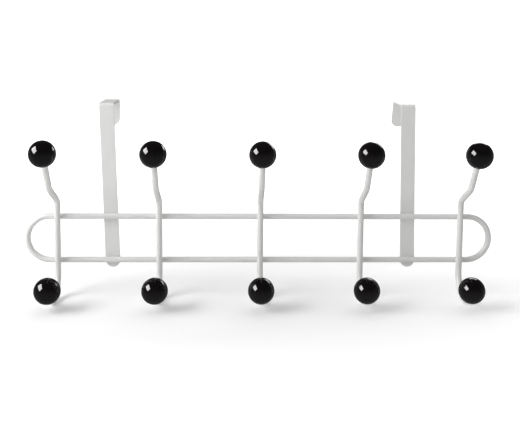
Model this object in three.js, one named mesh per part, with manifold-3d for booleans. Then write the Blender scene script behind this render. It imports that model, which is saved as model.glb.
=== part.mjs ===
// Over-the-door hook rack: one welded loop of wire, a row of double hooks with ball ends, and two
// sheet-steel brackets that hang over the top of a door. Millimetres, +X to the right as a person
// faces the rack, +Y into the door, +Z up. The origin is the middle of the door's top front edge:
// y = 0 is the door's face, z = 0 is its top.
import * as THREE from 'three';
import { mergeVertices } from 'three/addons/utils/BufferGeometryUtils.js';
import Module from 'manifold-3d';

const wasm = await Module();
wasm.setup();

// Clearances between separate pieces
const GAP = 0.3;
const WELD_SEAM = 0.9;

// Door brackets: strip steel bent over the door
const STRIP_WIDTH = 14.5;
const STRIP_THICK = 1.8;
const DOOR_GAP = 37;
const BEND_INSIDE_RADIUS = 1.6;
const LIP_LENGTH = 27.2;
const STRAP_HEIGHT = 165.9;
const BRACKET_X = 149;
const END_STEPS = 8;
const TIP_HALF_WIDTH = 0.6;

// How far the straps and the lips lean off plumb: a positive lean carries the upper end to the right
const LEFT_STRAP_LEAN = THREE.MathUtils.degToRad(-1.8);
const LEFT_LIP_LEAN = 0;
const RIGHT_STRAP_LEAN = THREE.MathUtils.degToRad(-1.1);
const RIGHT_LIP_LEAN = THREE.MathUtils.degToRad(4.5);

// Wire loop: two rails joined by half-round ends
const RAIL_RADIUS = 2.85;
const RAIL_SPACING = 44.3;
const RAIL_DROP = 111;
const LOOP_HALF_LENGTH = 230.9;

// Double hooks
const HOOK_COUNT = 5;
const HOOK_PITCH = 100;
const HOOK_RADIUS = 3;
const STEM_ABOVE = 12.7;
const STEM_BELOW = 9.5;
const ARM_BEND_RADIUS = 8;
const ARM_SLOPE = THREE.MathUtils.degToRad(30.5);
const ARM_RUN = 27;
const TIP_BEND_RADIUS = 18;
const TIP_SLOPE = THREE.MathUtils.degToRad(58.7);
const TIP_RUN = 38.6;
const J_RADIUS = 21.5;
const J_TURN = THREE.MathUtils.degToRad(140);
const J_RUN = 11.8;

// Ball ends, with a blind bore that the wire is pressed into
const BALL_RADIUS = 12.5;
const WIRE_STOP = 1;
const BORE_RADIUS = HOOK_RADIUS + GAP;

// Weld nuggets
const HOOK_WELD_RADIUS = 2.7;
const STRAP_WELD_HALF_WIDTH = 4.2;
const STRAP_WELD_HALF_HEIGHT = 2.5;
const NUGGET_DEPTH = 3.4;
const CUTTER_LENGTH = 20;

// Facet counts
const WIRE_SIDES = 12;
const BALL_SIDES = 20;
const BALL_RINGS = 12;
const WELD_SIDES = 24;
const DEGREES_PER_STEP = 10;
const TIGHT_BEND_STEP = 15;

// Derived places
const RAIL_Y = -STRIP_THICK - WELD_SEAM - RAIL_RADIUS;
const HOOK_Y = RAIL_Y - RAIL_RADIUS - GAP - HOOK_RADIUS;
const TOP_RAIL_Z = -RAIL_DROP;
const LOW_RAIL_Z = TOP_RAIL_Z - RAIL_SPACING;
const END_RADIUS = RAIL_SPACING / 2;
const STRAIGHT_RAIL = 2 * (LOOP_HALF_LENGTH - END_RADIUS);
const BRIDGE_MIDDLE_Z = STRIP_THICK / 2;
const FULL_TURN = Math.PI * 2;

// Finishes
const whitePowderCoat = { color: 0xdedfdb, roughness: 0.42, metalness: 0 };
const whiteWireCoat = { color: 0xe6e7e4, roughness: 0.36, metalness: 0 };
const blackBall = { color: 0x0b0a0b, roughness: 0.08, metalness: 0 };

const rack = new THREE.Group();

function addMesh(name, geometry, finish, parent = rack) {
  const mesh = new THREE.Mesh(geometry, new THREE.MeshStandardMaterial(finish));
  mesh.name = name;
  parent.add(mesh);
  return mesh;
}

// A path in a plane, drawn as wire is bent: straight runs and bends, one after the other.
class BentPath {
  constructor(x, y, heading) {
    this.stations = [{ x, y, heading }];
  }

  get end() {
    return this.stations[this.stations.length - 1];
  }

  straight(length) {
    const { x, y, heading } = this.end;
    this.stations.push({
      x: x + length * Math.cos(heading),
      y: y + length * Math.sin(heading),
      heading,
    });
    return this;
  }

  // A positive angle turns to the left of the direction of travel.
  bend(radius, angle, stepDegrees = DEGREES_PER_STEP) {
    const { x, y, heading } = this.end;
    const side = Math.sign(angle);
    const centreX = x - side * radius * Math.sin(heading);
    const centreY = y + side * radius * Math.cos(heading);
    const steps = Math.ceil(Math.abs(THREE.MathUtils.radToDeg(angle)) / stepDegrees - 1e-6);
    for (let i = 1; i <= steps; i += 1) {
      const turned = heading + (angle * i) / steps;
      this.stations.push({
        x: centreX + side * radius * Math.sin(turned),
        y: centreY - side * radius * Math.cos(turned),
        heading: turned,
      });
    }
    return this;
  }

  // The same path, travelled from its end to its start.
  reversed() {
    return this.stations
      .map(({ x, y, heading }) => ({ x, y, heading: heading + Math.PI }))
      .reverse();
  }
}

// Skins a row of equal rings of points, with a flat cap on each end unless the row closes on itself.
function skinRings(rings, closed = false) {
  const sides = rings[0].length;
  const positions = rings.flat().flatMap((point) => point.toArray());
  const index = [];
  const spans = closed ? rings.length : rings.length - 1;
  for (let i = 0; i < spans; i += 1) {
    const here = i * sides;
    const next = ((i + 1) % rings.length) * sides;
    for (let j = 0; j < sides; j += 1) {
      const k = (j + 1) % sides;
      index.push(here + j, here + k, next + k);
      index.push(here + j, next + k, next + j);
    }
  }
  if (!closed) {
    const last = (rings.length - 1) * sides;
    for (let j = 1; j < sides - 1; j += 1) {
      index.push(0, j + 1, j);
      index.push(last, last + j, last + j + 1);
    }
  }
  const geometry = new THREE.BufferGeometry();
  geometry.setAttribute('position', new THREE.Float32BufferAttribute(positions, 3));
  geometry.setIndex(index);
  geometry.computeVertexNormals();
  return geometry;
}

// Round wire along stations in the XY plane.
function wireAlong(stations, radius, closed = false) {
  const rings = stations.map(({ x, y, heading }) => {
    const ring = [];
    for (let j = 0; j < WIRE_SIDES; j += 1) {
      const angle = (FULL_TURN * j) / WIRE_SIDES;
      const across = radius * Math.cos(angle);
      ring.push(new THREE.Vector3(
        x - across * Math.sin(heading),
        y + across * Math.cos(heading),
        radius * Math.sin(angle),
      ));
    }
    return ring;
  });
  return skinRings(rings, closed);
}

function toManifold(geometry, matrix) {
  const bare = geometry.clone().applyMatrix4(matrix);
  bare.deleteAttribute('normal');
  bare.deleteAttribute('uv');
  const merged = mergeVertices(bare, 1e-4);
  return new wasm.Manifold(new wasm.Mesh({
    numProp: 3,
    vertProperties: merged.attributes.position.array,
    triVerts: new Uint32Array(merged.index.array),
  }));
}

function fromManifold(solid) {
  const mesh = solid.getMesh();
  const geometry = new THREE.BufferGeometry();
  geometry.setAttribute('position', new THREE.BufferAttribute(mesh.vertProperties, 3));
  geometry.setIndex(new THREE.BufferAttribute(mesh.triVerts, 1));
  geometry.computeVertexNormals();
  return geometry;
}

// A short rod of the given radii, centred on a point, with its axis along X, Y or Z.
function rod(axis, radiusA, radiusB, length, centre) {
  const directions = {
    x: new THREE.Vector3(1, 0, 0),
    y: new THREE.Vector3(0, 1, 0),
    z: new THREE.Vector3(0, 0, 1),
  };
  const turn = new THREE.Quaternion().setFromUnitVectors(directions.y, directions[axis]);
  const matrix = new THREE.Matrix4().compose(centre, turn, new THREE.Vector3(radiusA, 1, radiusB));
  return toManifold(new THREE.CylinderGeometry(1, 1, length, WELD_SIDES), matrix);
}

// ---- Wire loop ----

function loopStations() {
  const path = new BentPath(-STRAIGHT_RAIL / 2, LOW_RAIL_Z, 0);
  path.straight(STRAIGHT_RAIL).bend(END_RADIUS, Math.PI);
  path.straight(STRAIGHT_RAIL).bend(END_RADIUS, Math.PI);
  return path.stations.slice(0, -1);
}

function addWireLoop() {
  const loop = addMesh('wire_loop', wireAlong(loopStations(), RAIL_RADIUS, true), whiteWireCoat);
  loop.rotation.x = Math.PI / 2;
  loop.position.y = RAIL_Y;
}

// ---- Double hooks and their balls ----

// The hook is drawn in a plane whose x is the distance in front of its stem and whose y is height.
function upperArm() {
  const stemTop = new BentPath(0, TOP_RAIL_Z + STEM_ABOVE, Math.PI / 2);
  return stemTop
    .bend(ARM_BEND_RADIUS, ARM_SLOPE - Math.PI / 2, TIGHT_BEND_STEP)
    .straight(ARM_RUN)
    .bend(TIP_BEND_RADIUS, TIP_SLOPE - ARM_SLOPE)
    .straight(TIP_RUN - WIRE_STOP);
}

function lowerArm() {
  return new BentPath(0, LOW_RAIL_Z - STEM_BELOW, -Math.PI / 2)
    .bend(J_RADIUS, J_TURN)
    .straight(J_RUN - WIRE_STOP);
}

// Half section of a ball about its bore axis, from the bore's floor round to the far pole.
function ballGeometry() {
  const floor = -WIRE_STOP + GAP;
  const mouth = -Math.sqrt(BALL_RADIUS ** 2 - BORE_RADIUS ** 2);
  const start = Math.acos(-mouth / BALL_RADIUS);
  const profile = [
    new THREE.Vector2(0, floor),
    new THREE.Vector2(BORE_RADIUS, floor),
  ];
  for (let i = 0; i <= BALL_RINGS; i += 1) {
    const angle = start + ((Math.PI - start) * i) / BALL_RINGS;
    profile.push(new THREE.Vector2(
      i === BALL_RINGS ? 0 : BALL_RADIUS * Math.sin(angle),
      -BALL_RADIUS * Math.cos(angle),
    ));
  }
  return new THREE.LatheGeometry(profile, BALL_SIDES);
}

// A ball on the end of an arm, its bore along the wire.
function addBall(name, arm, parent) {
  const { x, y, heading } = arm.end;
  const ball = addMesh(name, ballGeometry(), blackBall, parent);
  ball.position.set(x + WIRE_STOP * Math.cos(heading), y + WIRE_STOP * Math.sin(heading), 0);
  ball.rotation.z = heading - Math.PI / 2;
}

function addHook(number, hookX) {
  const plane = new THREE.Group();
  const forward = new THREE.Vector3(0, -1, 0);
  const up = new THREE.Vector3(0, 0, 1);
  const across = new THREE.Vector3(-1, 0, 0);
  plane.setRotationFromMatrix(new THREE.Matrix4().makeBasis(forward, up, across));
  plane.position.set(hookX, HOOK_Y, 0);
  rack.add(plane);

  const upper = upperArm();
  const lower = lowerArm();
  const stations = [...lower.reversed(), ...upper.stations];
  addMesh(`hook_${number}`, wireAlong(stations, HOOK_RADIUS), whiteWireCoat, plane);
  addBall(`upper_ball_${number}`, upper, plane);
  addBall(`lower_ball_${number}`, lower, plane);
}

// ---- Door brackets ----

// Half width of the strip at a distance from its end: the end is a half circle.
function endHalfWidth(distance) {
  const half = STRIP_WIDTH / 2;
  const inside = Math.min(distance, half);
  return Math.sqrt(half ** 2 - (half - inside) ** 2);
}

// Splits the last half width of a straight end into steps, so that it can be rounded.
function roundedEndSteps() {
  const half = STRIP_WIDTH / 2;
  const distances = [];
  for (let i = 1; i <= END_STEPS; i += 1) {
    distances.push(half * (1 - Math.cos((Math.PI / 2) * (i / END_STEPS))));
  }
  return distances;
}

// The strip's centre line in a plane whose x is the distance behind the door's face.
function bracketPath() {
  const middle = STRIP_THICK / 2;
  const bendRadius = BEND_INSIDE_RADIUS + middle;
  const bottom = STRIP_THICK - STRAP_HEIGHT;
  const rise = STRAP_HEIGHT - middle - bendRadius;
  const bridge = DOOR_GAP - 2 * BEND_INSIDE_RADIUS;
  const lip = LIP_LENGTH - middle - bendRadius;
  const ends = roundedEndSteps();
  const path = new BentPath(-middle, bottom, Math.PI / 2);
  let travelled = 0;
  for (const distance of ends) {
    path.straight(distance - travelled);
    travelled = distance;
  }
  path.straight(rise - travelled);
  path.bend(bendRadius, -Math.PI / 2, TIGHT_BEND_STEP).straight(bridge);
  path.bend(bendRadius, -Math.PI / 2, TIGHT_BEND_STEP);
  travelled = 0;
  for (const distance of [...ends].reverse()) {
    path.straight(lip - distance - travelled);
    travelled = lip - distance;
  }
  path.straight(lip - travelled);
  return path.stations;
}

// The middle of the strip, left to right, at a distance behind the door's face and a height.
function leanedX(centreX, strapLean, lipLean, behind, height) {
  if (behind < DOOR_GAP / 2) {
    return centreX + (height - TOP_RAIL_Z) * Math.tan(strapLean);
  }
  const bridgeX = centreX + (BRIDGE_MIDDLE_Z - TOP_RAIL_Z) * Math.tan(strapLean);
  return bridgeX + (height - BRIDGE_MIDDLE_Z) * Math.tan(lipLean);
}

function addBracket(name, centreX, strapLean, lipLean) {
  const stations = bracketPath();
  const lowest = STRIP_THICK - STRAP_HEIGHT;
  const lipEnd = STRIP_THICK - LIP_LENGTH;
  const rings = stations.map(({ x, y, heading }) => {
    const onLip = x > DOOR_GAP;
    const onStrap = x < 0;
    let half = STRIP_WIDTH / 2;
    if (onStrap) {
      half = Math.max(endHalfWidth(y - lowest), TIP_HALF_WIDTH);
    } else if (onLip) {
      half = Math.max(endHalfWidth(y - lipEnd), TIP_HALF_WIDTH);
    }
    const corner = (side, face) => {
      const offset = (face * STRIP_THICK) / 2;
      const behind = x - offset * Math.sin(heading);
      const height = y + offset * Math.cos(heading);
      const middleX = leanedX(centreX, strapLean, lipLean, behind, height);
      return new THREE.Vector3(middleX + side * half, behind, height);
    };
    return [corner(-1, 1), corner(1, 1), corner(1, -1), corner(-1, -1)];
  });
  addMesh(name, skinRings(rings), whitePowderCoat);
}

// ---- Welds ----

// The ring of weld metal round the point where a stem crosses a rail.
function hookWeld(x, railZ) {
  const middleY = (RAIL_Y + HOOK_Y) / 2;
  const middle = new THREE.Vector3(x, middleY, railZ);
  const ring = rod('y', HOOK_WELD_RADIUS, HOOK_WELD_RADIUS, NUGGET_DEPTH, middle);
  const railRoom = RAIL_RADIUS + GAP;
  const stemRoom = HOOK_RADIUS + GAP;
  const rail = rod('x', railRoom, railRoom, CUTTER_LENGTH, new THREE.Vector3(x, RAIL_Y, railZ));
  const stem = rod('z', stemRoom, stemRoom, CUTTER_LENGTH, new THREE.Vector3(x, HOOK_Y, railZ));
  return fromManifold(ring.subtract(rail).subtract(stem));
}

// The saddle of weld metal between a rail and the strap behind it.
function strapWeld(x, railZ) {
  const back = -STRIP_THICK - GAP;
  const depth = back - RAIL_Y;
  const centre = new THREE.Vector3(x, back - depth / 2, railZ);
  const saddle = rod('y', STRAP_WELD_HALF_WIDTH, STRAP_WELD_HALF_HEIGHT, depth, centre);
  const railRoom = RAIL_RADIUS + GAP;
  const rail = rod('x', railRoom, railRoom, CUTTER_LENGTH, new THREE.Vector3(x, RAIL_Y, railZ));
  return fromManifold(saddle.subtract(rail));
}

// ---- Assembly ----

const rails = { top: TOP_RAIL_Z, bottom: LOW_RAIL_Z };
const brackets = {
  left: { x: -BRACKET_X, strapLean: LEFT_STRAP_LEAN, lipLean: LEFT_LIP_LEAN },
  right: { x: BRACKET_X, strapLean: RIGHT_STRAP_LEAN, lipLean: RIGHT_LIP_LEAN },
};

addWireLoop();

for (let number = 1; number <= HOOK_COUNT; number += 1) {
  const hookX = (number - (HOOK_COUNT + 1) / 2) * HOOK_PITCH;
  addHook(number, hookX);
  for (const [rail, railZ] of Object.entries(rails)) {
    addMesh(`weld_hook_${number}_${rail}`, hookWeld(hookX, railZ), whiteWireCoat);
  }
}

for (const [side, { x, strapLean, lipLean }] of Object.entries(brackets)) {
  addBracket(`door_bracket_${side}`, x, strapLean, lipLean);
  for (const [rail, railZ] of Object.entries(rails)) {
    const weldX = leanedX(x, strapLean, lipLean, 0, railZ);
    addMesh(`weld_bracket_${side}_${rail}`, strapWeld(weldX, railZ), whitePowderCoat);
  }
}

export default rack;
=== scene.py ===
"""Looks of the over-the-door hook rack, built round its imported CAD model.

Metres, +X right, +Y into the door, +Z up.
"""

import math

import bmesh
import bpy
from mathutils import Matrix, Vector


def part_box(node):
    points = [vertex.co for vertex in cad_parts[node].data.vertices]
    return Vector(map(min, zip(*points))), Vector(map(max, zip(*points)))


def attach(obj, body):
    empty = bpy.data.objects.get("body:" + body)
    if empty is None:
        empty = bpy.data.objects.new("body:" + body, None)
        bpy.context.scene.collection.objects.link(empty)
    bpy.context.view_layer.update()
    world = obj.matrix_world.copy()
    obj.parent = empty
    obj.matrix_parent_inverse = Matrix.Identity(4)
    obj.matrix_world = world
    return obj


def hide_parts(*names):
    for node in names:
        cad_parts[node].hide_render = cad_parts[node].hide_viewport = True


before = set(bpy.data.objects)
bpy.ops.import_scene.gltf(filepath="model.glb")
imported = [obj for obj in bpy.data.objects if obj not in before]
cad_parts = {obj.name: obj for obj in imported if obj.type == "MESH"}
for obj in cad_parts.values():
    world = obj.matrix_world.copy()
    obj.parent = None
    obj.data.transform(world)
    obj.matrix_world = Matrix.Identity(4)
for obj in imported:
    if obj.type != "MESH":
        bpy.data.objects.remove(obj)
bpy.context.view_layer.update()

ROOT = "root"
MM = 0.001

# ---------------------------------------------------------------- sizes, read from the frame

HOOK_NUMBERS = range(1, 6)
SIDES = ("left", "right")
RAILS = ("top", "bottom")

loop_low, loop_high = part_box("wire_loop")
RAIL_RADIUS = (loop_high.y - loop_low.y) / 2
RAIL_Y = (loop_high.y + loop_low.y) / 2
RAIL_Z = {"top": loop_high.z - RAIL_RADIUS, "bottom": loop_low.z + RAIL_RADIUS}
END_RADIUS = (RAIL_Z["top"] - RAIL_Z["bottom"]) / 2
LOOP_HALF = loop_high.x - RAIL_RADIUS

hook_low, hook_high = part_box("hook_1")
HOOK_RADIUS = (hook_high.x - hook_low.x) / 2
HOOK_Y = hook_high.y - HOOK_RADIUS
FLOOR_Z = hook_low.z

# The bends of a hook, as in the CAD model, but its end runs stop WIRE_STOP short of the ball's middle
STEM_ABOVE = 12.7 * MM
STEM_BELOW = 9.5 * MM
ARM_BEND_RADIUS = 8 * MM
ARM_SLOPE = math.radians(30.5)
ARM_RUN = 27 * MM
TIP_BEND_RADIUS = 18 * MM
TIP_SLOPE = math.radians(58.7)
TIP_RUN = 37.6 * MM
J_RADIUS = 21.5 * MM
J_TURN = math.radians(140)
J_RUN = 10.8 * MM

# Door brackets
STRIP_THICK = 1.8 * MM
STRIP_WIDTH = 14.5 * MM
LIP_LENGTH = 27.2 * MM
STRIP_EDGE_ROUND = 0.2 * MM
FLAT_MARGIN = 0.15 * MM
BEND_INSIDE_RADIUS = 1.6 * MM
STRAP_LEAN = {"left": math.radians(-1.8), "right": math.radians(-1.1)}
LIP_LEAN = {"left": 0, "right": math.radians(4.5)}

# Balls: the bore is a little wider and deeper than the wire in it
WIRE_STOP = 1 * MM
BALL_RADIUS = 12.48 * MM
MOUTH_ROUND = 0.5 * MM
BORE_PLAY = 0.15 * MM
BORE_FLOOR_GAP = 0.3 * MM

# Welds: each is a ring round a hollow core, and the core stops short of both pieces
HOOK_WELD_CORE = 1.215 * MM
HOOK_WELD_REACH = 2.6 * MM
HOOK_WELD_NECK = 0.6 * MM
STRAP_WELD_HALF_WIDTH = 4.2 * MM
STRAP_WELD_HALF_HEIGHT = 2.5 * MM
STRAP_WELD_NECK = 0.2
STRAP_WELD_CORE = 0.3
CORE_NEAR = 0.08
CORE_FAR = 0.92

# Fineness of the meshes
WIRE_SIDES = 40
RAIL_STEPS = 24
STEM_STEPS = 12
ARM_STEPS = 4
J_STEPS = 2
BALL_SIDES = 64
BALL_MOUTH_STEPS = 6
BALL_OUTSIDE_STEPS = 44
WELD_SIDES = 40
WELD_ARC_STEPS = 8
STRIP_END_STEPS = 14
STRIP_EDGE_STEPS = 4
STRIP_ROWS = {"strap": 40, "bend": 24, "bridge": 10, "lip": 6}
BEND_STEP = math.radians(3)
STEP_SLACK = 1e-6
ON_AXIS = 1e-9

FULL_TURN = 2 * math.pi
QUARTER_TURN = math.pi / 2


# ---------------------------------------------------------------- mesh helpers

def mesh_piece(name, vertices, faces, material, smooth=True):
    """A new object from a list of points and faces, with its normals facing out."""
    mesh = bpy.data.meshes.new(name)
    mesh.from_pydata([tuple(v) for v in vertices], [], faces)
    shape = bmesh.new()
    shape.from_mesh(mesh)
    bmesh.ops.recalc_face_normals(shape, faces=shape.faces)
    shape.to_mesh(mesh)
    shape.free()
    mesh.update()
    if smooth:
        mesh.shade_smooth()
    piece = bpy.data.objects.new(name, mesh)
    bpy.context.scene.collection.objects.link(piece)
    piece.data.materials.append(material)
    return piece


def skin_rings(rings, closed):
    """Points and faces of a skin over equal rings, capped at both ends unless it closes on itself."""
    sides = len(rings[0])
    vertices = [point for ring in rings for point in ring]
    faces = []
    for i in range(len(rings) if closed else len(rings) - 1):
        here = i * sides
        there = (i + 1) % len(rings) * sides
        for j in range(sides):
            k = (j + 1) % sides
            faces.append((here + j, here + k, there + k, there + j))
    if not closed:
        faces.append(tuple(range(sides))[::-1])
        faces.append(tuple((len(rings) - 1) * sides + j for j in range(sides)))
    return vertices, faces


class BentPath:
    """A path in a plane, drawn as wire is bent: straight runs and bends, one after the other."""

    def __init__(self, x, y, heading):
        self.stations = [(x, y, heading)]

    def straight(self, length, steps=1):
        for _ in range(steps):
            x, y, heading = self.stations[-1]
            step = length / steps
            self.stations.append((x + step * math.cos(heading), y + step * math.sin(heading), heading))
        return self

    def bend(self, radius, angle):
        x, y, heading = self.stations[-1]
        side = math.copysign(1, angle)
        centre_x = x - side * radius * math.sin(heading)
        centre_y = y + side * radius * math.cos(heading)
        steps = math.ceil(abs(angle) / BEND_STEP - STEP_SLACK)
        for i in range(1, steps + 1):
            turned = heading + angle * i / steps
            place_x = centre_x + side * radius * math.sin(turned)
            place_y = centre_y - side * radius * math.cos(turned)
            self.stations.append((place_x, place_y, turned))
        return self

    def reversed(self):
        return [(x, y, heading + math.pi) for x, y, heading in reversed(self.stations)]


def wire_rings(stations, radius, place):
    """Round sections along a path. place(x, y, across) puts a point of the path's plane in the frame."""
    rings = []
    for x, y, heading in stations:
        ring = []
        for j in range(WIRE_SIDES):
            angle = FULL_TURN * j / WIRE_SIDES
            out = radius * math.cos(angle)
            across = radius * math.sin(angle)
            ring.append(place(x - out * math.sin(heading), y + out * math.cos(heading), across))
        rings.append(ring)
    return rings


# ---------------------------------------------------------------- materials

WIRE_WHITE = (0.73, 0.73, 0.717)
WIRE_WHITE_DULL = (0.71, 0.711, 0.697)
STRAP_WHITE = (0.755, 0.755, 0.741)
STRAP_WHITE_DULL = (0.735, 0.737, 0.723)
COAT_ROUGHNESS = (0.32, 0.40)
COAT_IOR = 1.5
NIBS_PER_METRE = 180
NIB_SLOPE = (0.03, 0.10)
BALL_DARK = (0.0024, 0.0018, 0.0020)
BALL_LIGHT = (0.0048, 0.0034, 0.0038)
BALL_ROUGHNESS = (0.045, 0.10)
BALL_IOR = 1.49
# The middle part of a noise's values, which is stretched to the full range
NOISE_MIDDLE = (0.3, 0.7)
SMEAR_MIDDLE = (0.35, 0.75)


def new_material(name):
    material = bpy.data.materials.new(name)
    material.use_nodes = True
    nodes = material.node_tree.nodes
    shader = nodes["Principled BSDF"]
    return material, nodes, material.node_tree.links, shader


def noise(nodes, links, where, scale, detail=2.0, roughness=0.5):
    node = nodes.new("ShaderNodeTexNoise")
    node.inputs["Scale"].default_value = scale
    node.inputs["Detail"].default_value = detail
    node.inputs["Roughness"].default_value = roughness
    links.new(where, node.inputs["Vector"])
    return node.outputs["Fac"]


def remap(nodes, links, value, low, high, to_low, to_high):
    node = nodes.new("ShaderNodeMapRange")
    node.inputs["From Min"].default_value = low
    node.inputs["From Max"].default_value = high
    node.inputs["To Min"].default_value = to_low
    node.inputs["To Max"].default_value = to_high
    links.new(value, node.inputs["Value"])
    return node.outputs["Result"]


def bump(nodes, links, height, strength, distance, under=None):
    node = nodes.new("ShaderNodeBump")
    node.inputs["Strength"].default_value = strength
    node.inputs["Distance"].default_value = distance
    links.new(height, node.inputs["Height"])
    if under is not None:
        links.new(under, node.inputs["Normal"])
    return node.outputs["Normal"]


def blend_colours(nodes, links, factor, colour_a, colour_b):
    node = nodes.new("ShaderNodeMix")
    node.data_type = "RGBA"
    links.new(factor, node.inputs["Factor"])
    for socket, colour in (("A", colour_a), ("B", colour_b)):
        target = [s for s in node.inputs if s.name == socket and s.type == "RGBA"][0]
        target.default_value = (*colour, 1)
    return [s for s in node.outputs if s.type == "RGBA"][0]


def powder_coat(name, light, shade):
    """Baked powder paint: orange peel, grit, a few dust nibs, and slightly uneven gloss and white."""
    material, nodes, links, shader = new_material(name)
    where = nodes.new("ShaderNodeTexCoord").outputs["Object"]

    drift = noise(nodes, links, where, scale=45, detail=3)
    tone = remap(nodes, links, drift, *NOISE_MIDDLE, 0, 1)
    colour = blend_colours(nodes, links, tone, light, shade)
    links.new(colour, shader.inputs["Base Color"])

    gloss = noise(nodes, links, where, scale=160, detail=4)
    links.new(remap(nodes, links, gloss, *NOISE_MIDDLE, *COAT_ROUGHNESS), shader.inputs["Roughness"])

    peel = noise(nodes, links, where, scale=620, detail=1.5, roughness=0.35)
    grit = noise(nodes, links, where, scale=3600, detail=2)
    cells = nodes.new("ShaderNodeTexVoronoi")
    cells.inputs["Scale"].default_value = NIBS_PER_METRE
    links.new(where, cells.inputs["Vector"])
    nibs = remap(nodes, links, cells.outputs["Distance"], *NIB_SLOPE, 1, 0)
    skin = bump(nodes, links, peel, strength=0.16, distance=0.22 * MM)
    skin = bump(nodes, links, grit, strength=0.10, distance=0.03 * MM, under=skin)
    skin = bump(nodes, links, nibs, strength=0.15, distance=0.06 * MM, under=skin)
    links.new(skin, shader.inputs["Normal"])
    shader.inputs["IOR"].default_value = COAT_IOR
    return material


def polished_black(name):
    """Moulded and polished black plastic, with faint flow marks and the odd fine rub."""
    material, nodes, links, shader = new_material(name)
    where = nodes.new("ShaderNodeTexCoord").outputs["Object"]

    cloud = noise(nodes, links, where, scale=70, detail=3)
    tone = remap(nodes, links, cloud, *NOISE_MIDDLE, 0, 1)
    colour = blend_colours(nodes, links, tone, BALL_DARK, BALL_LIGHT)
    links.new(colour, shader.inputs["Base Color"])

    smear = noise(nodes, links, where, scale=240, detail=4)
    links.new(remap(nodes, links, smear, *SMEAR_MIDDLE, *BALL_ROUGHNESS), shader.inputs["Roughness"])

    flow = noise(nodes, links, where, scale=130, detail=1)
    fine = noise(nodes, links, where, scale=2600, detail=3)
    skin = bump(nodes, links, flow, strength=0.12, distance=0.06 * MM)
    skin = bump(nodes, links, fine, strength=0.03, distance=0.01 * MM, under=skin)
    links.new(skin, shader.inputs["Normal"])
    shader.inputs["IOR"].default_value = BALL_IOR
    return material


WIRE_COAT = powder_coat("wire_powder_coat_look", WIRE_WHITE, WIRE_WHITE_DULL)
STRAP_COAT = powder_coat("bracket_powder_coat_look", STRAP_WHITE, STRAP_WHITE_DULL)
BLACK_BALL = polished_black("black_ball_look")


# ---------------------------------------------------------------- wire loop

def add_loop():
    straight = 2 * (LOOP_HALF - END_RADIUS)
    path = BentPath(-straight / 2, RAIL_Z["bottom"], 0)
    for _ in RAILS:
        path.straight(straight, RAIL_STEPS).bend(END_RADIUS, math.pi)

    def in_frame(x, y, across):
        return Vector((x, RAIL_Y - across, y))

    rings = wire_rings(path.stations[:-1], RAIL_RADIUS, in_frame)
    loop = mesh_piece("rail_loop", *skin_rings(rings, closed=True), WIRE_COAT)
    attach(loop, ROOT)
    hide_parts("wire_loop")


# ---------------------------------------------------------------- double hooks and balls

def upper_arm():
    path = BentPath(0, RAIL_Z["top"] + STEM_ABOVE, QUARTER_TURN)
    path.bend(ARM_BEND_RADIUS, ARM_SLOPE - QUARTER_TURN).straight(ARM_RUN, ARM_STEPS)
    return path.bend(TIP_BEND_RADIUS, TIP_SLOPE - ARM_SLOPE).straight(TIP_RUN, ARM_STEPS)


def lower_arm():
    path = BentPath(0, RAIL_Z["bottom"] - STEM_BELOW, -QUARTER_TURN)
    return path.bend(J_RADIUS, J_TURN).straight(J_RUN, J_STEPS)


def ball_profile():
    """Half section of a ball: the bore's floor and wall, the rounded mouth, the outside to the pole."""
    bore = HOOK_RADIUS + BORE_PLAY
    floor = -WIRE_STOP + BORE_FLOOR_GAP
    reach = BALL_RADIUS - MOUTH_ROUND
    rim = bore + MOUTH_ROUND
    rim_depth = -math.sqrt(reach ** 2 - rim ** 2)
    blend_angle = math.atan2(rim, -rim_depth)
    profile = [(0, floor), (bore, floor), (bore, (floor + rim_depth) / 2)]
    for i in range(BALL_MOUTH_STEPS + 1):
        angle = math.pi + (QUARTER_TURN + blend_angle) * i / BALL_MOUTH_STEPS
        profile.append((rim + MOUTH_ROUND * math.cos(angle), rim_depth + MOUTH_ROUND * math.sin(angle)))
    for i in range(1, BALL_OUTSIDE_STEPS + 1):
        angle = blend_angle + (math.pi - blend_angle) * i / BALL_OUTSIDE_STEPS
        profile.append((BALL_RADIUS * math.sin(angle), -BALL_RADIUS * math.cos(angle)))
    return profile


def revolved(profile, sides, place):
    """Points and faces of a profile turned about its axis. place(radius, angle, along) is a point."""
    vertices = []
    rows = []
    for radius, along in profile:
        if radius < ON_AXIS:
            rows.append([len(vertices)])
            vertices.append(place(0, 0, along))
            continue
        rows.append([len(vertices) + j for j in range(sides)])
        vertices += [place(radius, FULL_TURN * j / sides, along) for j in range(sides)]
    faces = []
    for row, after in zip(rows, rows[1:]):
        for j in range(sides):
            k = (j + 1) % sides
            corners = [row[j % len(row)], row[k % len(row)]]
            corners += [after[k % len(after)], after[j % len(after)]]
            faces.append(tuple(dict.fromkeys(corners)))
    return vertices, faces


def add_ball(name, node, arm, in_frame):
    x, y, heading = arm.stations[-1]
    centre_x = x + WIRE_STOP * math.cos(heading)
    centre_y = y + WIRE_STOP * math.sin(heading)

    def place(radius, angle, along):
        out = radius * math.cos(angle)
        across = radius * math.sin(angle)
        place_x = centre_x + along * math.cos(heading) - out * math.sin(heading)
        place_y = centre_y + along * math.sin(heading) + out * math.cos(heading)
        return in_frame(place_x, place_y, across)

    ball = mesh_piece(name, *revolved(ball_profile(), BALL_SIDES, place), BLACK_BALL)
    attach(ball, ROOT)
    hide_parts(node)


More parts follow.
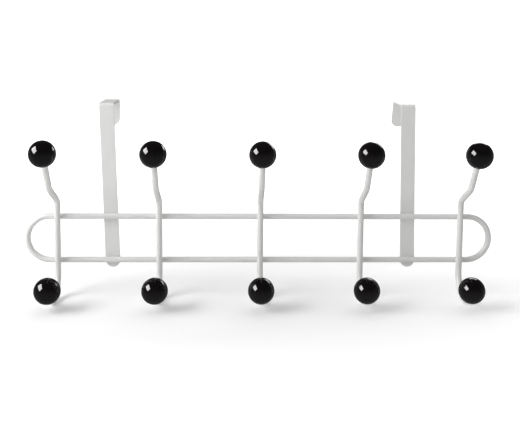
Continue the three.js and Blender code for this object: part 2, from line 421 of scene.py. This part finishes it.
def add_hook(number):
    low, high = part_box(f"hook_{number}")
    hook_x = (low.x + high.x) / 2

    def in_frame(x, y, across):
        return Vector((hook_x - across, HOOK_Y - x, y))

    upper = upper_arm()
    lower = lower_arm()
    stem = BentPath(*lower.stations[0][:2], QUARTER_TURN)
    stem.straight(upper.stations[0][1] - lower.stations[0][1], STEM_STEPS)
    stations = lower.reversed() + stem.stations[1:] + upper.stations[1:]
    rings = wire_rings(stations, HOOK_RADIUS, in_frame)
    hook = mesh_piece(f"double_hook_{number}", *skin_rings(rings, closed=False), WIRE_COAT)
    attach(hook, ROOT)
    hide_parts(f"hook_{number}")
    add_ball(f"ball_upper_{number}", f"upper_ball_{number}", upper, in_frame)
    add_ball(f"ball_lower_{number}", f"lower_ball_{number}", lower, in_frame)
    for rail in RAILS:
        add_hook_weld(number, rail, hook_x)


# ---------------------------------------------------------------- welds

def add_weld(name, node, rings, material):
    weld = mesh_piece(name, *skin_rings(rings, closed=True), material)
    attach(weld, ROOT)
    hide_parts(node)


def add_hook_weld(number, rail, hook_x):
    """A fused collar in the groove between a crossing rail and stem, necked in between the two."""
    rings = []
    for j in range(WELD_SIDES):
        angle = FULL_TURN * j / WELD_SIDES
        cos, sin = math.cos(angle), math.sin(angle)

        def at(radius, toward_rail):
            across, up = radius * cos, radius * sin
            rail_face = RAIL_Y - math.sqrt(max(RAIL_RADIUS ** 2 - up ** 2, 0))
            stem_face = HOOK_Y + math.sqrt(HOOK_RADIUS ** 2 - across ** 2)
            y = stem_face + (rail_face - stem_face) * toward_rail
            return Vector((hook_x + across, y, RAIL_Z[rail] + up))

        ring = [at(HOOK_WELD_CORE, CORE_NEAR), at(HOOK_WELD_CORE, CORE_FAR)]
        for i in range(WELD_ARC_STEPS + 1):
            toward_stem = i / WELD_ARC_STEPS
            neck = math.sin(math.pi * toward_stem)
            ring.append(at(HOOK_WELD_REACH - HOOK_WELD_NECK * neck, 1 - toward_stem))
        rings.append(ring)
    add_weld(f"weld_{number}_{rail}", f"weld_hook_{number}_{rail}", rings, WIRE_COAT)


def add_strap_weld(side, rail):
    """A saddle of weld between the flat strap and the round back of a rail."""
    node = f"weld_bracket_{side}_{rail}"
    low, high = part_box(node)
    middle_x = (low.x + high.x) / 2
    rings = []
    for j in range(WELD_SIDES):
        angle = FULL_TURN * j / WELD_SIDES

        def at(share, toward_rail):
            across = STRAP_WELD_HALF_WIDTH * share * math.cos(angle)
            up = STRAP_WELD_HALF_HEIGHT * share * math.sin(angle)
            rail_face = RAIL_Y + math.sqrt(RAIL_RADIUS ** 2 - up ** 2)
            strap_face = -STRIP_THICK
            y = strap_face + (rail_face - strap_face) * toward_rail
            return Vector((middle_x + across, y, RAIL_Z[rail] + up))

        ring = [at(STRAP_WELD_CORE, CORE_NEAR), at(STRAP_WELD_CORE, CORE_FAR)]
        for i in range(WELD_ARC_STEPS + 1):
            toward_strap = i / WELD_ARC_STEPS
            ring.append(at(1 - STRAP_WELD_NECK * math.sin(math.pi * toward_strap), 1 - toward_strap))
        rings.append(ring)
    add_weld(f"weld_{side}_{rail}", node, rings, STRAP_COAT)


# ---------------------------------------------------------------- door brackets

def bracket_line(strap_end, door_gap):
    """The strip's centre line: its length, where its rows lie, and a function from length to place."""
    middle = STRIP_THICK / 2
    bend = BEND_INSIDE_RADIUS + middle
    top = STRIP_THICK - middle - bend
    quarter = QUARTER_TURN * bend
    rise = top - strap_end
    bridge = door_gap - 2 * BEND_INSIDE_RADIUS
    lip = LIP_LENGTH - middle - bend
    ends = [rise, rise + quarter, rise + quarter + bridge, rise + 2 * quarter + bridge]
    length = ends[-1] + lip
    near_x = -middle + bend
    far_x = near_x + bridge

    def place(s):
        if s <= ends[0]:
            return -middle, strap_end + s, QUARTER_TURN
        if s <= ends[1]:
            turn = (s - ends[0]) / bend
            return near_x - bend * math.cos(turn), top + bend * math.sin(turn), QUARTER_TURN - turn
        if s <= ends[2]:
            return near_x + s - ends[1], top + bend, 0
        if s <= ends[3]:
            turn = (s - ends[2]) / bend
            return far_x + bend * math.sin(turn), top + bend * math.cos(turn), -turn
        return far_x + bend, top - (s - ends[3]), -QUARTER_TURN

    half = STRIP_WIDTH / 2
    rows = []
    limits = [half, ends[0], ends[1], ends[2], ends[3], length - half]
    counts = [STRIP_ROWS[part] for part in ("strap", "bend", "bridge", "bend", "lip")]
    for start, stop, count in zip(limits, limits[1:], counts):
        rows += [start + (stop - start) * i / count for i in range(count)]
    return length, rows + [limits[-1]], place


def add_bracket(side):
    node = f"door_bracket_{side}"
    low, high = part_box(node)
    weld_low, weld_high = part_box(f"weld_bracket_{side}_top")
    centre_x = (weld_low.x + weld_high.x) / 2
    door_gap = high.y - STRIP_THICK
    bridge_z = STRIP_THICK / 2
    length, rows, place = bracket_line(low.z, door_gap)
    half = STRIP_WIDTH / 2

    def in_frame(s, across, out):
        x, y, heading = place(s)
        height = y + out * math.cos(heading)
        behind = x - out * math.sin(heading)
        if behind < door_gap / 2:
            middle_x = centre_x + (height - RAIL_Z["top"]) * math.tan(STRAP_LEAN[side])
        else:
            bridge_x = centre_x + (bridge_z - RAIL_Z["top"]) * math.tan(STRAP_LEAN[side])
            middle_x = bridge_x + (height - bridge_z) * math.tan(LIP_LEAN[side])
        return Vector((middle_x + across, behind, height))

    def side_line(inset):
        """Places along one long side of the round-ended outline, from tip to tip."""
        reach = half - inset
        angles = [QUARTER_TURN * i / STRIP_END_STEPS for i in range(STRIP_END_STEPS)]
        line = [(half - reach * math.cos(a), reach * math.sin(a)) for a in angles]
        line += [(s, reach) for s in rows]
        far_middle = length - half
        line += [(far_middle + reach * math.cos(a), reach * math.sin(a)) for a in reversed(angles)]
        return line

    levels = [(STRIP_EDGE_ROUND + FLAT_MARGIN, -STRIP_THICK / 2)]
    for i in range(STRIP_EDGE_STEPS + 1):
        angle = QUARTER_TURN * i / STRIP_EDGE_STEPS
        levels.append((STRIP_EDGE_ROUND * (1 - math.sin(angle)),
                       -STRIP_THICK / 2 + STRIP_EDGE_ROUND * (1 - math.cos(angle))))
    levels += [(inset, -out) for inset, out in reversed(levels)]

    rings = []
    for inset, out in levels:
        line = side_line(inset)
        around = line + [(s, -across) for s, across in reversed(line[1:-1])]
        rings.append([in_frame(s, across, out) for s, across in around])
    vertices, faces = skin_rings(rings, closed=False)
    del faces[-2:]
    per_side = len(side_line(0))
    per_ring = len(rings[0])
    for base in (0, (len(rings) - 1) * per_ring):
        for i in range(per_side - 1):
            other = [(per_ring - i) % per_ring, (per_ring - i - 1) % per_ring]
            corners = [base + i, base + i + 1, base + other[1], base + other[0]]
            faces.append(tuple(dict.fromkeys(corners)))
    bracket = mesh_piece(f"bracket_{side}", vertices, faces, STRAP_COAT)
    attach(bracket, ROOT)
    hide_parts(node)
    for rail in RAILS:
        add_strap_weld(side, rail)


# ---------------------------------------------------------------- the object

add_loop()
for hook_number in HOOK_NUMBERS:
    add_hook(hook_number)
for bracket_side in SIDES:
    add_bracket(bracket_side)


# ---------------------------------------------------------------- floor, light and camera

FLOOR_HALF = 4.0
FLOOR_GREY = 0.88
FLOOR_ROUGHNESS = 0.9
# The floor's glow, for the camera only: its strength under the rack, and what is added far from it
FLOOR_GLOW = 0.06
FLOOR_GLOW_RISE = 0.75
GLOW_CENTRE = (-0.05, -0.04, FLOOR_Z)
GLOW_SQUASH = (0.6, 1, 1)
GLOW_NEAR = 0.08
GLOW_FAR = 0.55

# The world: soft light from the front to the back, the grey seen in gloss, and the white backdrop
SOFT_FRONT = 0.45
SOFT_BACK = 0.8
SOFT_REACH = 0.6
GLOSS_TOP = 0.05
GLOSS_BOTTOM = 0.22
GLOSS_TOP_Z = 0.5
GLOSS_BOTTOM_Z = -0.4
BACKDROP_WHITE = 1.05

CAMERA_PLACE = Vector((-0.0237, -0.7593, 0.0808))
CAMERA_LENS = 53.31
CAMERA_SENSOR = 36
CAMERA_CLIP_START = 0.01
CAMERA_SHIFT_Y = -0.204
CAMERA_YAW = math.radians(1.71)
CAMERA_PITCH = math.radians(6)
CAMERA_ROLL = math.radians(-0.52)

KEY_PLACE = Vector((-1.23, -0.46, 0.61))
KEY_TARGET = Vector((0, -0.05, -0.1))
KEY_SIZE = (0.70, 1.13)
KEY_WATTS = 18.5
KEY_GLOSS_WATTS = 41
KEY_GLOSS_STEP = 0.02
KEY_SPIN = math.radians(67)
RIM_PLACE = Vector((0.40, 0.55, 0.22))
RIM_SIZE = (0.40, 0.20)
RIM_WATTS = 1.4


def look_along(eye, target):
    return (target - eye).to_track_quat("-Z", "Y")


def add_floor():
    signs = ((-1, -1), (1, -1), (1, 1), (-1, 1))
    corners = [(x * FLOOR_HALF, y * FLOOR_HALF, FLOOR_Z) for x, y in signs]
    floor = mesh_piece("studio_floor", corners, [(0, 1, 2, 3)], floor_material(), smooth=False)
    floor.visible_glossy = False


def floor_material():
    material, nodes, links, shader = new_material("studio_floor_look")
    shader.inputs["Base Color"].default_value = (FLOOR_GREY, FLOOR_GREY, FLOOR_GREY, 1)
    shader.inputs["Emission Color"].default_value = (1, 1, 1, 1)
    squash = nodes.new("ShaderNodeVectorMath")
    squash.operation = "MULTIPLY"
    squash.inputs[1].default_value = GLOW_SQUASH
    links.new(nodes.new("ShaderNodeTexCoord").outputs["Object"], squash.inputs[0])
    reach = nodes.new("ShaderNodeVectorMath")
    reach.operation = "DISTANCE"
    reach.inputs[1].default_value = GLOW_CENTRE
    links.new(squash.outputs["Vector"], reach.inputs[0])
    full_glow = FLOOR_GLOW + FLOOR_GLOW_RISE
    glow = remap(nodes, links, reach.outputs["Value"], GLOW_NEAR, GLOW_FAR, FLOOR_GLOW, full_glow)
    seen = nodes.new("ShaderNodeMath")
    seen.operation = "MULTIPLY"
    links.new(glow, seen.inputs[0])
    links.new(nodes.new("ShaderNodeLightPath").outputs["Is Camera Ray"], seen.inputs[1])
    links.new(seen.outputs["Value"], shader.inputs["Emission Strength"])
    shader.inputs["Roughness"].default_value = FLOOR_ROUGHNESS
    shader.inputs["Specular IOR Level"].default_value = 0
    return material


def add_area_light(name, place, target, size, watts, spin=0.0, diffuse=True, glossy=True):
    """A flat lamp facing the target. size is its width and height, spin turns it on its middle."""
    light = bpy.data.lights.new(name, "AREA")
    light.shape = "RECTANGLE"
    light.size, light.size_y = size
    light.energy = watts
    lamp = bpy.data.objects.new(name, light)
    lamp.location = place
    turn = look_along(place, target).to_matrix() @ Matrix.Rotation(spin, 3, "Z")
    lamp.rotation_mode = "QUATERNION"
    lamp.rotation_quaternion = turn.to_quaternion()
    lamp.visible_diffuse = diffuse
    lamp.visible_glossy = glossy
    lamp.visible_camera = False
    bpy.context.scene.collection.objects.link(lamp)


def set_world():
    """White to the camera, white for soft light, and dim in gloss so that black balls stay black."""
    world = bpy.data.worlds.new("studio_world")
    bpy.context.scene.world = world
    world.use_nodes = True
    nodes = world.node_tree.nodes
    links = world.node_tree.links
    output = nodes["World Output"]
    soft = nodes["Background"]
    soft.inputs["Color"].default_value = (1, 1, 1, 1)
    split = nodes.new("ShaderNodeSeparateXYZ")
    links.new(nodes.new("ShaderNodeTexCoord").outputs["Generated"], split.inputs[0])
    brightness = remap(nodes, links, split.outputs["Y"], -SOFT_REACH, SOFT_REACH, SOFT_FRONT, SOFT_BACK)
    links.new(brightness, soft.inputs["Strength"])

    def backdrop(strength):
        node = nodes.new("ShaderNodeBackground")
        node.inputs["Color"].default_value = (1, 1, 1, 1)
        if isinstance(strength, float):
            node.inputs["Strength"].default_value = strength
        else:
            links.new(strength, node.inputs["Strength"])
        return node.outputs["Background"]

    rays = nodes.new("ShaderNodeLightPath")
    gloss = nodes.new("ShaderNodeMixShader")
    links.new(rays.outputs["Is Glossy Ray"], gloss.inputs[0])
    links.new(soft.outputs["Background"], gloss.inputs[1])
    height = split.outputs["Z"]
    studio = remap(nodes, links, height, GLOSS_TOP_Z, GLOSS_BOTTOM_Z, GLOSS_TOP, GLOSS_BOTTOM)
    links.new(backdrop(studio), gloss.inputs[2])
    seen = nodes.new("ShaderNodeMixShader")
    links.new(rays.outputs["Is Camera Ray"], seen.inputs[0])
    links.new(gloss.outputs["Shader"], seen.inputs[1])
    links.new(backdrop(BACKDROP_WHITE), seen.inputs[2])
    links.new(seen.outputs["Shader"], output.inputs["Surface"])


def add_camera():
    data = bpy.data.cameras.new("camera")
    data.lens = CAMERA_LENS
    data.sensor_width = CAMERA_SENSOR
    data.sensor_fit = "HORIZONTAL"
    data.shift_y = CAMERA_SHIFT_Y
    data.clip_start = CAMERA_CLIP_START
    data.dof.use_dof = False
    camera = bpy.data.objects.new("camera", data)
    ahead = Vector((math.sin(CAMERA_YAW), math.cos(CAMERA_YAW), 0))
    right = Vector((math.cos(CAMERA_YAW), -math.sin(CAMERA_YAW), 0))
    forward = ahead * math.cos(CAMERA_PITCH) - Vector((0, 0, 1)) * math.sin(CAMERA_PITCH)
    up = Vector((0, 0, 1)) * math.cos(CAMERA_PITCH) + ahead * math.sin(CAMERA_PITCH)
    level_x = right * math.cos(CAMERA_ROLL) - up * math.sin(CAMERA_ROLL)
    level_y = right * math.sin(CAMERA_ROLL) + up * math.cos(CAMERA_ROLL)
    axes = Matrix((level_x, level_y, -forward)).transposed()
    camera.matrix_world = Matrix.Translation(CAMERA_PLACE) @ axes.to_4x4()
    bpy.context.scene.collection.objects.link(camera)
    bpy.context.scene.camera = camera


add_floor()
set_world()
add_area_light("key", KEY_PLACE, KEY_TARGET, KEY_SIZE, KEY_WATTS, KEY_SPIN, glossy=False)
in_front = KEY_PLACE + (KEY_TARGET - KEY_PLACE).normalized() * KEY_GLOSS_STEP
add_area_light("key_sheen", in_front, KEY_TARGET, KEY_SIZE, KEY_GLOSS_WATTS, KEY_SPIN, diffuse=False)
add_area_light("rim_sheen", RIM_PLACE, KEY_TARGET, RIM_SIZE, RIM_WATTS, diffuse=False)
add_camera()
bpy.context.scene.view_settings.view_transform = "Standard"
